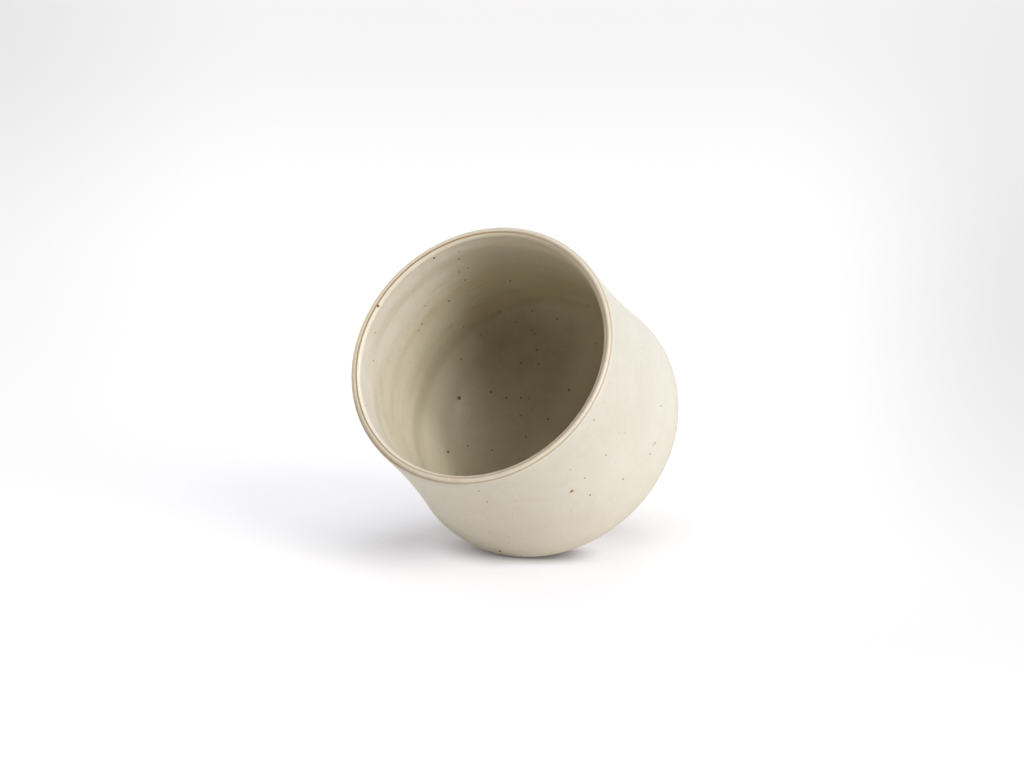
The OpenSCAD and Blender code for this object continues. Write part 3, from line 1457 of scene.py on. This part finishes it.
@dataclass
class Stage:
    """The tilted white floor, the soft lights and the white surroundings.

    Each FALL, SHARE and RISE is a ramp: where it starts and ends, and its values there.

    Attributes:
        view: The camera, which gives the floor its tilt.
        lights: The studio's lights.
        floor_half: Half the width of the floor, in metres.
        floor_glow: Share of the floor's white that glows on its own, which the lights' shadows don't
            reach and the cup's painted shadow darkens.
        floor_lit: Share of the lights that the floor shows.
        floor_bounce: Colour of the floor as a reflector, which throws warm light back on the cup.
        floor_fill: Light of its own that the floor throws on the cup, where the cup shades it.
        glow_tint: Colour of the white that shadows don't reach, which is cool.
        lit_tint: Colour of the white that the lights make, which is warm.
        corner_reach: How far the painted shadow beside the heel reaches, on its left and its right, in
            metres.
        corner_gain: How quickly that painted shadow deepens towards the heel.
        corner_share: How dark it gets at most, 0 to 1.
        hang_reach: How far the painted shadow under its leaning wall reaches, in metres.
        hang_gain: How quickly that painted shadow deepens towards the cup.
        hang_share: How dark it gets at most, 0 to 1.
        front_share: How much of it is left in front of the cup, 0 to 1.
        dim: Strength of the surroundings as light.
    """

    view: PhotoView
    lights: tuple[StudioLight, ...] = (
        StudioLight("key_light", 140.0, 29.0, 27.0, 2.75),
        StudioLight("high_key_light", 156.0, 52.0, 30.0, 0.5),
        StudioLight("back_light", 320.0, 14.0, 50.0, 2.1),
        StudioLight("high_back_light", 15.0, 45.0, 45.0, 0.65),
        StudioLight("top_light", 90.0, 74.0, 45.0, 0.25),
    )
    floor_half: float = 8.0
    floor_glow: float = 0.77
    floor_lit: float = 0.28
    floor_bounce: Direction = (0.83, 0.79, 0.725)
    floor_fill: float = 0.05
    glow_tint: Direction = (0.955, 0.962, 1.045)
    lit_tint: Direction = (1.17, 1.1, 0.9)
    corner_reach: Point = (0.0105, 0.0066)
    corner_gain: float = 1.05
    corner_share: float = 0.85
    hang_reach: float = 0.11
    hang_gain: float = 5.0
    hang_share: float = 0.7
    front_share: float = 0.1
    dim: float = 0.03

    SIGHT = 0.7
    NEAREST = 0.1
    SKY_SAMPLES = 16
    CORNER_SPAN = (-0.012, 0.001)
    HANG_SIDE = (-0.25, 0.97, 0.0)
    HANG_SPAN = (-0.037, 0.058)
    DARK_CURVE = 2.3
    BACK_FALL = (0.15, 0.75, 0.88, 1.0)
    LEFT_FALL = (-0.1, -0.25, 0.0, 0.13)
    LEFT_SHARE = (0.3, 2.0, 1.0, 0.0)
    RIGHT_FALL = (0.1, 0.24, 0.0, 0.23)
    RIGHT_SHARE = (0.8, 2.0, 1.0, 0.0)
    RIGHT_RISE = (0.1, 0.8, 0.3, 1.0)

    def build(self, pieces: list[bpy.types.Object]) -> None:
        """Put the floor under the cup and light both.

        Args:
            pieces: The cup's pieces, which the floor has to touch.
        """
        axes = self.view.floor_axes()
        up = axes.col[2]
        lowest = min((v.co for p in pieces for v in p.data.vertices), key=lambda co: co.dot(up))
        self.build_floor(Matrix.Translation(lowest) @ axes.to_4x4())
        for light in self.lights:
            light.build(axes)
        self.build_world()
        bpy.context.scene.view_settings.view_transform = "Standard"

    def seen(self, kit: TreeKit) -> Socket:
        """Tell the rays that show the studio from those that only light the cup.

        Args:
            kit: Kit of the floor's or the world's tree.

        Returns:
            The socket with 1 for a ray that shows the studio, and 0 for another.
        """
        path = kit.add("ShaderNodeLightPath").outputs
        mirrored = kit.math("MAXIMUM", path["Is Glossy Ray"], path["Is Transmission Ray"])
        return kit.math("MAXIMUM", path["Is Camera Ray"], mirrored)

    def build_floor(self, seat: Matrix) -> None:
        """Lay the floor, which shows only its upper side.

        Args:
            seat: Place and axes of the floor.
        """
        half = self.floor_half
        mesh = bpy.data.meshes.new("floor")
        corners = [(-half, -half, 0), (half, -half, 0), (half, half, 0), (-half, half, 0)]
        mesh.from_pydata(corners, [], [(0, 1, 2, 3)])
        mesh.materials.append(self.floor_material())
        floor = bpy.data.objects.new("floor", mesh)
        floor.matrix_world = seat
        bpy.context.scene.collection.objects.link(floor)

    def floor_material(self) -> bpy.types.Material:
        """Build the floor's material.

        Returns:
            A white that shows the lights' shadows and the cup's painted shadow, throws warm light on
            the cup and is clear from below.
        """
        made, kit = new_material("white_floor")
        warm = (*self.floor_bounce, 1.0)
        thrown = kit.value("ShaderNodeBsdfDiffuse", {"Color": warm})
        fill = kit.value("ShaderNodeEmission", {"Color": warm, "Strength": self.floor_fill})
        bounce = kit.value("ShaderNodeAddShader", {0: thrown, 1: fill})
        upper = kit.value("ShaderNodeMixShader", {0: self.seen(kit), 1: bounce, 2: self.shown(kit)})
        under = kit.add("ShaderNodeNewGeometry").outputs["Backfacing"]
        clear = kit.value("ShaderNodeBsdfTransparent")
        sided = kit.value("ShaderNodeMixShader", {0: under, 1: upper, 2: clear})
        kit.add("ShaderNodeOutputMaterial", {0: sided})
        return made

    def shown(self, kit: TreeKit) -> Socket:
        """Build the white that the camera sees, with the cup's painted shadow in it.

        Args:
            kit: Kit of the floor's material.

        Returns:
            The socket with the shader.
        """
        spot = kit.place()
        where = kit.split(spot)
        reach = kit.ramp(where["X"], *self.CORNER_SPAN, *self.corner_reach)
        # Painted shadow: ambient occlusion darkens the floor's own glow beside the heel and under the
        # leaning wall.
        corner = self.darkened(kit, reach, self.corner_gain, self.corner_share)
        hang = self.darkened(kit, self.hang_reach, self.hang_gain, self.hang_share)
        weight = kit.towards(spot, self.HANG_SIDE, self.HANG_SPAN, self.front_share, 1.0)
        open_sky = kit.product(kit.rest(corner), kit.rest(kit.product(hang, weight)))
        # Painted shade: the floor's white falls off to the back and the sides.
        fall = self.fall_off(kit, where["X"], where["Y"])
        glow = kit.product(open_sky, fall, self.floor_glow)
        own = kit.value("ShaderNodeEmission", {"Color": (*self.glow_tint, 1.0), "Strength": glow})
        grey = kit.scaled(self.lit_tint, kit.product(fall, self.floor_lit))
        lit = kit.value("ShaderNodeBsdfDiffuse", {"Color": grey})
        return kit.value("ShaderNodeAddShader", {0: own, 1: lit})

    def darkened(self, kit: TreeKit, reach: Any, gain: float, most: float) -> Socket:
        """Find the painted shadow that the cup lays on the floor, from ambient occlusion.

        Args:
            kit: Kit of the material's tree.
            reach: How far the dark reaches, in metres.
            gain: How quickly it deepens towards the cup.
            most: How dark it gets at most, 0 to 1.

        Returns:
            The socket with the share of white that is lost.
        """
        inputs = {"Distance": reach}
        sky = kit.add("ShaderNodeAmbientOcclusion", inputs, samples=self.SKY_SAMPLES).outputs["AO"]
        dark = kit.math("POWER", kit.rest(sky), self.DARK_CURVE)
        return kit.math("MINIMUM", kit.product(dark, gain), most)

    def fall_off(self, kit: TreeKit, right: Any, back: Any) -> Socket:
        """Find how the floor's white falls off to the back and the sides, as painted shade of the
        light's fall-off.

        Args:
            kit: Kit of the material's tree.
            right: Socket with the place to the right of the cup, in metres.
            back: Socket with the place behind the cup, in metres.

        Returns:
            The socket with the share of white that is left, 0 to 1.
        """
        away = kit.math("MAXIMUM", kit.math("ADD", back, self.SIGHT), self.NEAREST)
        near = kit.math("DIVIDE", 1.0, away)
        aside = kit.product(right, near)
        left_loss = kit.product(kit.ramp(aside, *self.LEFT_FALL), kit.ramp(near, *self.LEFT_SHARE))
        share = kit.product(kit.ramp(near, *self.RIGHT_SHARE), kit.ramp(near, *self.RIGHT_RISE))
        right_loss = kit.product(kit.ramp(aside, *self.RIGHT_FALL), share)
        kept = kit.rest(kit.math("ADD", left_loss, right_loss))
        return kit.product(kept, kit.ramp(near, *self.BACK_FALL))

    def build_world(self) -> None:
        """Make the surroundings white to look at, and dim as light."""
        world = bpy.data.worlds.new("studio")
        world.use_nodes = True
        world.node_tree.nodes.clear()
        kit = TreeKit(world.node_tree)
        strength = kit.ramp(self.seen(kit), 0.0, 1.0, self.dim, 1.0)
        white = kit.add("ShaderNodeBackground", {"Color": (1, 1, 1, 1), "Strength": strength})
        kit.add("ShaderNodeOutputWorld", {"Surface": white.outputs[0]})
        bpy.context.scene.world = world


@dataclass
class TurnedPiece:
    """A piece of the cup that is turned from its own outline.

    Attributes:
        form: The cup's sizes.
        name: Name of the piece.
        node: The solid that the piece stands for.
        slot: The part's material slot; not used.
        around: Faces round the cup.
        wobble: How far the form wanders from round, in metres.
        creep: How far a glaze edge wanders, in metres.
        ring_height: Height of the throwing rings, in metres.
        ring_pitch: Distance from one ring to the next, in metres.
        seed: Seed of all that is uneven, the same for every piece.
        speck_density: Random iron specks on a square metre.
        speck_w: Width of the largest of them, in metres.
    """

    form: CupForm
    name: str
    node: str
    slot: str
    around: int = 256
    wobble: float = 0.15 * MM
    creep: float = 0.12 * MM
    ring_height: float = 0.0
    ring_pitch: float = 6.0 * MM
    seed: float = 4.0
    speck_density: float = 0.0
    speck_w: float = 0.42 * MM

    def stations(self) -> list[Station]:
        """Trace the piece's outline."""
        raise NotImplementedError

    def finish(self) -> bpy.types.Material:
        """Build the piece's material."""
        raise NotImplementedError

    def build(self, wheel: TurnedForm) -> bpy.types.Object:
        """Turn the piece.

        Args:
            wheel: The tree that turns outlines.

        Returns:
            The finished mesh.
        """
        inputs = {
            "Around": self.around,
            "Ring Height": self.ring_height,
            "Ring Pitch": self.ring_pitch,
            "Wobble": self.wobble,
            "Creep": self.creep,
            "Seed": self.seed,
            "Finish": self.finish(),
        }
        return wheel.turn(self.name, self.stations(), inputs)

    def dress(self, piece: bpy.types.Object) -> None:
        """Put the piece in its solid's place.

        Args:
            piece: The finished mesh.
        """
        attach(piece, BODY)
        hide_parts(self.node)
        LOG.info("%s stands for %s, %d faces", piece.name, self.node, len(piece.data.polygons))


@dataclass
class ClayBody(TurnedPiece):
    """The lump of fired clay, with turning marks under its base.

    Attributes:
        around: Faces round the cup, fewer than on a coat because the clay's outline is longer.
        ring_height: Height of the turning marks, in metres.
        ring_pitch: Distance from one mark to the next, in metres.
        turned_share: Share of the hollow's radius that has marks.
    """

    around: int = 224
    ring_height: float = 0.07 * MM
    ring_pitch: float = 1.7 * MM
    turned_share: float = 0.85

    def stations(self) -> list[Station]:
        """Trace the clay from the middle of its base to the middle of its floor.

        Returns:
            The outline's stations.
        """
        form = self.form
        whole = form.foot_face() + form.outside_wall() + form.bare_lip() + form.inside_bowl()
        line = [p for p, q in zip(whole, whole[1:]) if math.dist(p, q) > form.MEET] + whole[-1:]
        turned_r = (form.foot_d / 2 - form.foot_w - form.hollow_h) * self.turned_share
        made = []
        for place, way, run in zip(line, directions(line), lengths(line)):
            ring = 1.0 if run < turned_r and place[0] > 0 else 0.0
            made.append(Station(place, (way[1], -way[0]), ring=ring, along=run))
        return made

    def finish(self) -> bpy.types.Material:
        """Build the clay's material."""
        return Clay().material()


@dataclass
class Coat(TurnedPiece):
    """A fired coat of glaze on a face of the clay.

    The creep of an edge reaches as far into the coat as CREEP_BEADS beads.

    Attributes:
        bead_w: Width over which the coat rounds down to an edge, in millimetres.
        edge_share: Thickness of the coat at an edge, as a share of the whole.
        first_follow: How much of the creep the coat's first edge follows.
        last_follow: The same for its last edge, or 0 where the coat ends on the axis.
    """

    bead_w: float = 0.8
    edge_share: float = 0.6
    first_follow: float = 1.0
    last_follow: float = 1.0

    CREEP_BEADS = 2

    def face(self) -> list[Point]:
        """Trace the clay's face under the coat."""
        raise NotImplementedError

    def ring_share(self, place: Point, edge: float) -> float:
        """Return how much of the throwing rings shows at a place: none on a plain coat."""
        return 0.0

    def stations(self) -> list[Station]:
        """Lay the coat over its face of the clay.

        Returns:
            The coat's outline as a closed loop: the surface that shows, then the side on the clay.
        """
        face = self.face()
        along = lengths(face)
        shown = []
        under = []
        for place, way, run in zip(face, directions(face), along):
            left = along[-1] - run if self.last_follow else math.inf
            edge = min(run, left)
            follow = self.first_follow if run < left else self.last_follow
            weight = follow * max(0.0, 1.0 - edge / (self.bead_w * self.CREEP_BEADS))
            flow = (way[0] * weight, way[1] * weight)
            outward = (way[1], -way[0]) if place[0] else (0.0, 1.0)
            low = 1.0 - min(1.0, edge / self.bead_w)
            thick = self.form.glaze_t * (self.edge_share + (1 - self.edge_share) * (1 - low ** 2))
            top = (place[0] + outward[0] * thick, place[1] + outward[1] * thick)
            shown.append(Station(top, outward, flow, self.ring_share(place, edge), run, edge, 1.0))
            under.append(Station(place, outward, flow, 0.0, run, edge, 0.0))
        return shown + under[::-1] + shown[:1]


@dataclass
class OutsideCoat(Coat):
    """The cream coat from the bare foot to the lip's outer line."""

    bead_w: float = 1.6
    first_follow: float = 4.0
    speck_density: float = 4500.0

    def face(self) -> list[Point]:
        """Trace the clay's face under the coat."""
        return self.form.outside_face()

    def finish(self) -> bpy.types.Material:
        """Build the coat's material."""
        return OutsideGlaze(
            "cream_glaze",
            cream=(216, 211, 200),
            pale=(221, 217, 207),
            tan=(198, 183, 155),
            brown=(188, 166, 136),
        ).material()


@dataclass
class LipCoat(Coat):
    """The pale band on top of the lip, between its two brown lines."""

    bead_w: float = 0.6

    def face(self) -> list[Point]:
        """Trace the clay's face under the coat."""
        return self.form.lip_face()

    def finish(self) -> bpy.types.Material:
        """Build the coat's material."""
        return LipGlaze(
            "lip_band_glaze",
            cream=(216, 206, 188),
            pale=(226, 218, 203),
            tan=(200, 184, 156),
            brown=(196, 174, 142),
            break_w=0.12 * MM,
            grain_share=0.5,
        ).material()


@dataclass
class InsideCoat(Coat):
    """The liner from the lip's inner line to the middle of the floor, with its throwing rings.

    Attributes:
        ring_top: Distance under the lip at which the rings start, in millimetres.
        ring_foot: Height at which they end, in millimetres.
        ring_fade: Length over which they start and end, in millimetres.
    """

    bead_w: float = 1.2
    last_follow: float = 0.0
    speck_density: float = 8000.0
    speck_w: float = 0.75 * MM
    ring_height: float = 0.07 * MM
    ring_pitch: float = 8.0 * MM
    ring_top: float = 3.0
    ring_foot: float = 20.0
    ring_fade: float = 6.0

    def face(self) -> list[Point]:
        """Trace the clay's face under the coat."""
        return self.form.inside_face()

    def ring_share(self, place: Point, edge: float) -> float:
        """Find how much of the throwing rings shows at a place.

        Args:
            place: Radius and height.
            edge: Distance down from the lip.

        Returns:
            A share from 0 to 1, fading towards the lip and the bevel.
        """
        below = (edge - self.ring_top) / self.ring_fade
        above = (place[1] - self.ring_foot) / self.ring_fade
        return max(0.0, min(1.0, below)) * max(0.0, min(1.0, above))

    def finish(self) -> bpy.types.Material:
        """Build the coat's material."""
        return LinerGlaze(
            "liner_glaze",
            cream=(204, 195, 171),
            pale=(208, 200, 178),
            tan=(184, 170, 136),
            brown=(182, 147, 105),
            break_w=0.12 * MM,
            break_share=0.35,
        ).material()


class SpeckScatter(PointTree):
    """Lays iron specks on a coat.

    Its points are the listed specks, with the attributes size, facing, rust
    and sunk. The tree adds small ones at random on the coat's surface, and makes each a flat
    uneven grain that sits in the glaze.
    """

    NAME = "speck_scatter"
    INPUTS = (
        ("Coat", "Object"),
        ("Density", "Float"),
        ("Smallest", "Float"),
        ("Largest", "Float"),
        ("Seed", "Int"),
    )
    VECTORS = ("facing",)
    SIDES = 10
    LAYERS = 6
    GRAIN_R = 0.5
    ACROSS = (2.0, 2.0, 0.0)
    FLATNESS = 0.22
    ANY_SPIN = (0.0, 0.0, 2 * math.pi)
    RARITY = 3.5
    SUNK = 0.5
    SEEN = 0.5
    CLEAR_EDGE = 1.0 * MM
    UNEVEN_SCALE = 2600.0
    UNEVEN_MIDDLE = (0.5, 0.5, 0.5)
    UNEVEN = 0.5

    def shaped(self) -> Socket:
        """Put a grain on every point.

        Returns:
            The socket with the grains.
        """
        kit = self.kit
        chosen = kit.value("GeometryNodeMeshToPoints", {"Mesh": self.given["Geometry"]})
        points = kit.add("GeometryNodeJoinGeometry")
        for source in (self.scattered(), chosen):
            kit.feed(points.inputs[0], source)
        upright = kit.value("FunctionNodeAlignRotationToVector", {"Vector": self.named("facing")})
        spin = kit.value("FunctionNodeRandomValue", {"Max": self.ANY_SPIN}, data_type="FLOAT_VECTOR")
        inputs = {"Rotation": upright, "Rotate By": spin}
        turned = kit.value("FunctionNodeRotateRotation", inputs, rotation_space="LOCAL")
        inputs = {"Points": points.outputs[0], "Instance": self.grain(), "Rotation": turned}
        laid = kit.value("GeometryNodeInstanceOnPoints", {**inputs, "Scale": self.named("size")})
        real = kit.value("GeometryNodeRealizeInstances", {"Geometry": laid})
        return kit.value("GeometryNodeSetPosition", {"Geometry": real, "Offset": self.pushed()})

    def scattered(self) -> Socket:
        """Strew points on the coat's surface.

        Returns:
            The socket with the points.
        """
        kit = self.kit
        given = self.given
        coat = kit.add("GeometryNodeObjectInfo", {"Object": given["Coat"]}).outputs["Geometry"]
        seen = kit.math("GREATER_THAN", self.named("shown"), self.SEEN)
        clear = kit.math("GREATER_THAN", self.named("edge"), self.CLEAR_EDGE)
        inputs = {"Mesh": coat, "Selection": kit.product(seen, clear), "Density": given["Density"]}
        inputs["Seed"] = given["Seed"]
        points = kit.add("GeometryNodeDistributePointsOnFaces", inputs).outputs
        luck = kit.add("FunctionNodeRandomValue", {"Seed": given["Seed"]}, data_type="FLOAT").outputs[1]
        span = kit.math("SUBTRACT", given["Largest"], given["Smallest"])
        rare = kit.math("POWER", luck, self.RARITY)
        size = kit.math("MULTIPLY_ADD", rare, span, given["Smallest"])
        kept = self.stored(points["Points"], "size", size)
        kept = self.stored(kept, "sunk", self.SUNK)
        return self.stored(kept, "facing", points["Normal"])

    def grain(self) -> Socket:
        """Make one flat grain, a unit wide, which knows how far its rim is.

        Returns:
            The socket with the grain.
        """
        kit = self.kit
        inputs = {"Segments": self.SIDES, "Rings": self.LAYERS, "Radius": self.GRAIN_R}
        ball = kit.value("GeometryNodeMeshUVSphere", inputs)
        away = kit.vector("LENGTH", kit.vector("MULTIPLY", self.position(), self.ACROSS))
        marked = self.stored(ball, "core", kit.rest(away))
        inputs = {"Geometry": marked, "Scale": (1.0, 1.0, self.FLATNESS)}
        return kit.value("GeometryNodeTransform", inputs)

    def pushed(self) -> Socket:
        """Find how far each point of a grain is pushed out of shape.

        Returns:
            The socket with the shift.
        """
        kit = self.kit
        inputs = {"Vector": self.position(), "Scale": self.UNEVEN_SCALE}
        noise = kit.add("ShaderNodeTexNoise", inputs).outputs["Color"]
        push = kit.vector("SUBTRACT", noise, self.UNEVEN_MIDDLE)
        return kit.scaled(push, kit.product(self.named("size"), self.UNEVEN))


class IronHue(Enum):
    """Colour of a speck: the share of rust in its iron, and the share of glaze over it."""

    BLACK = (0.0, 0.0)
    BROWN = (0.1, 0.1)
    RUST = (1.0, 0.0)
    SUNK = (0.0, 0.45)

    @property
    def rust(self) -> float:
        """Share of rust in the speck's iron."""
        return self.value[0]

    @property
    def sunk(self) -> float:
        """Share of glaze over the speck."""
        return self.value[1]


@dataclass(frozen=True)
class IronSpot:
    """A speck that shows in the photograph.

    Attributes:
        pixel: Where it is in the photograph.
        size: How wide it is, in millimetres.
        hue: Its colour.
    """

    pixel: Point
    size: float
    hue: IronHue = IronHue.BLACK


FoundSpot = tuple[Vector, Vector, IronSpot]


@dataclass(frozen=True)
class Iron:
    """Melted iron in the glaze, dark in the middle with a paler rim.

    Attributes:
        name: Name of the material.
        black: Colour of a black speck's middle.
        rust: Colour of a rusty speck's middle.
        rim: Colour of the rim, where glaze lies over the iron.
        roughness: Roughness of the surface.
    """

    name: str = "iron_speck"
    black: Colour = (62, 51, 37)
    rust: Colour = (176, 112, 50)
    rim: Colour = (141, 125, 94)
    roughness: float = 0.45

    RIM_W = (0.05, 0.45)

    def material(self) -> bpy.types.Material:
        """Build the material.

        Returns:
            The specks' material.
        """
        made, kit = new_material(self.name)
        metal = kit.blend(kit.attribute("rust"), linear(self.black), linear(self.rust))
        middle = kit.ramp(kit.attribute("core"), *self.RIM_W)
        bare = kit.product(middle, kit.rest(kit.attribute("sunk")))
        kit.satin(kit.blend(bare, linear(self.rim), metal), self.roughness)
        return made


@dataclass
class IronSpecks:
    """The iron specks in the glaze and on the bare lines of the lip.

    Attributes:
        view: The camera, which places the chosen specks.
        spread: How much wider a speck melts out than its dark middle shows.
        smallest: Width of the smallest random speck, in metres.
        seed: Seed of the random specks.
    """

    view: PhotoView
    spread: float = 1.3
    smallest: float = 0.2 * MM
    seed: int = 11

    SPOTS = (
        IronSpot((459, 398), 1.1, IronHue.BROWN),
        IronSpot((448, 452), 0.8, IronHue.SUNK),
        IronSpot((510, 281), 0.7, IronHue.SUNK),
        IronSpot((537, 350), 0.8, IronHue.SUNK),
        IronSpot((539, 364), 0.7, IronHue.SUNK),
        IronSpot((521, 363), 0.75, IronHue.SUNK),
        IronSpot((569, 390), 0.7, IronHue.SUNK),
        IronSpot((506, 398), 0.75, IronHue.SUNK),
        IronSpot((521, 398), 0.75, IronHue.SUNK),
        IronSpot((491, 392), 0.65, IronHue.SUNK),
        IronSpot((500, 312), 0.6, IronHue.SUNK),
        IronSpot((532, 311), 0.55, IronHue.SUNK),
        IronSpot((557, 319), 0.6, IronHue.SUNK),
        IronSpot((517, 322), 0.6, IronHue.SUNK),
        IronSpot((535, 334), 0.6, IronHue.SUNK),
        IronSpot((461, 359), 0.55, IronHue.SUNK),
        IronSpot((526, 437), 0.6, IronHue.SUNK),
        IronSpot((492, 450), 0.6, IronHue.SUNK),
        IronSpot((434, 258), 0.6),
        IronSpot((459, 259), 0.55),
        IronSpot((468, 268), 0.5),
        IronSpot((459, 272), 0.5),
        IronSpot((465, 280), 0.5),
        IronSpot((449, 301), 0.65, IronHue.SUNK),
        IronSpot((425, 306), 0.45),
        IronSpot((422, 324), 0.45),
        IronSpot((468, 446), 0.65, IronHue.SUNK),
        IronSpot((548, 419), 0.65, IronHue.SUNK),
        IronSpot((378, 306), 0.7, IronHue.BROWN),
        IronSpot((572, 491), 1.0, IronHue.RUST),
        IronSpot((585, 478), 0.5),
        IronSpot((590, 495), 0.5),
        IronSpot((623, 479), 0.5),
        IronSpot((606, 455), 0.45),
        IronSpot((594, 420), 0.5, IronHue.BROWN),
        IronSpot((655, 443), 0.5),
        IronSpot((653, 445), 0.4),
        IronSpot((650, 454), 0.45),
        IronSpot((661, 406), 0.45),
        IronSpot((479, 491), 0.5),
        IronSpot((487, 502), 0.5),
        IronSpot((500, 551), 0.7, IronHue.BROWN),
        IronSpot((357, 408), 0.4),
    )

    def chosen(self, carriers: list[bpy.types.Object]) -> dict[str, list[FoundSpot]]:
        """Find the place on the cup of each speck that shows in the photograph.

        Args:
            carriers: The pieces that can carry specks.

        Returns:
            For each piece's name, the place, the facing and the speck.
        """
        found: dict[str, list[FoundSpot]] = {piece.name: [] for piece in carriers}
        trees = {}
        for piece in carriers:
            corners = [v.co for v in piece.data.vertices]
            faces = [tuple(p.vertices) for p in piece.data.polygons]
            trees[piece.name] = BVHTree.FromPolygons(corners, faces)
        for spot in self.SPOTS:
            hits = []
            for name, tree in trees.items():
                place, facing, _, reach = tree.ray_cast(self.view.place(), self.view.ray(spot.pixel))
                if place is not None:
                    hits.append((reach, name, place, facing))
            if hits:
                _, name, place, facing = min(hits, key=lambda hit: hit[0])
                found[name].append((place, facing, spot))
        return found

    def build(self, parts: list[tuple[TurnedPiece, bpy.types.Object]]) -> None:
        """Lay the specks on every part that has any.

        Args:
            parts: The cup's parts with their finished pieces.
        """
        scatter = SpeckScatter()
        finish = Iron().material()
        chosen = self.chosen([carrier for _, carrier in parts])
        for part, carrier in parts:
            mine = chosen[carrier.name]
            if not mine and not part.speck_density:
                continue
            name = carrier.name + "_specks"
            known = {
                "size": [spot.size * self.spread * MM for _, _, spot in mine],
                "rust": [spot.hue.rust for _, _, spot in mine],
                "sunk": [spot.hue.sunk for _, _, spot in mine],
                "facing": [facing for _, facing, _ in mine],
            }
            inputs = {
                "Coat": carrier,
                "Density": part.speck_density,
                "Smallest": self.smallest,
                "Largest": part.speck_w,
                "Seed": self.seed,
                "Finish": finish,
            }
            piece = scatter.make(name, [place for place, _, _ in mine], known, inputs)
            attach(piece, BODY)
            LOG.info("%s, %d of them chosen, %d faces", name, len(mine), len(piece.data.polygons))


def main() -> None:
    """Build the camera, the cup and the stage."""
    logging.basicConfig(level=logging.INFO, format="%(name)s: %(message)s")
    view = PhotoView()
    view.build()
    form = CupForm()
    wheel = TurnedForm()
    parts = [
        ClayBody(form, "fired_clay", "clay_body", "stoneware"),
        OutsideCoat(form, "outside_coat", "outside_glaze", "outside_glaze"),
        LipCoat(form, "lip_coat", "lip_glaze", "lip_glaze"),
        InsideCoat(form, "inside_coat", "inside_glaze", "inside_glaze"),
    ]
    pieces = []
    for part in parts:
        piece = part.build(wheel)
        part.dress(piece)
        pieces.append(piece)
    IronSpecks(view).build(list(zip(parts, pieces)))
    Stage(view).build(pieces)


if __name__ == "__main__":
    main()
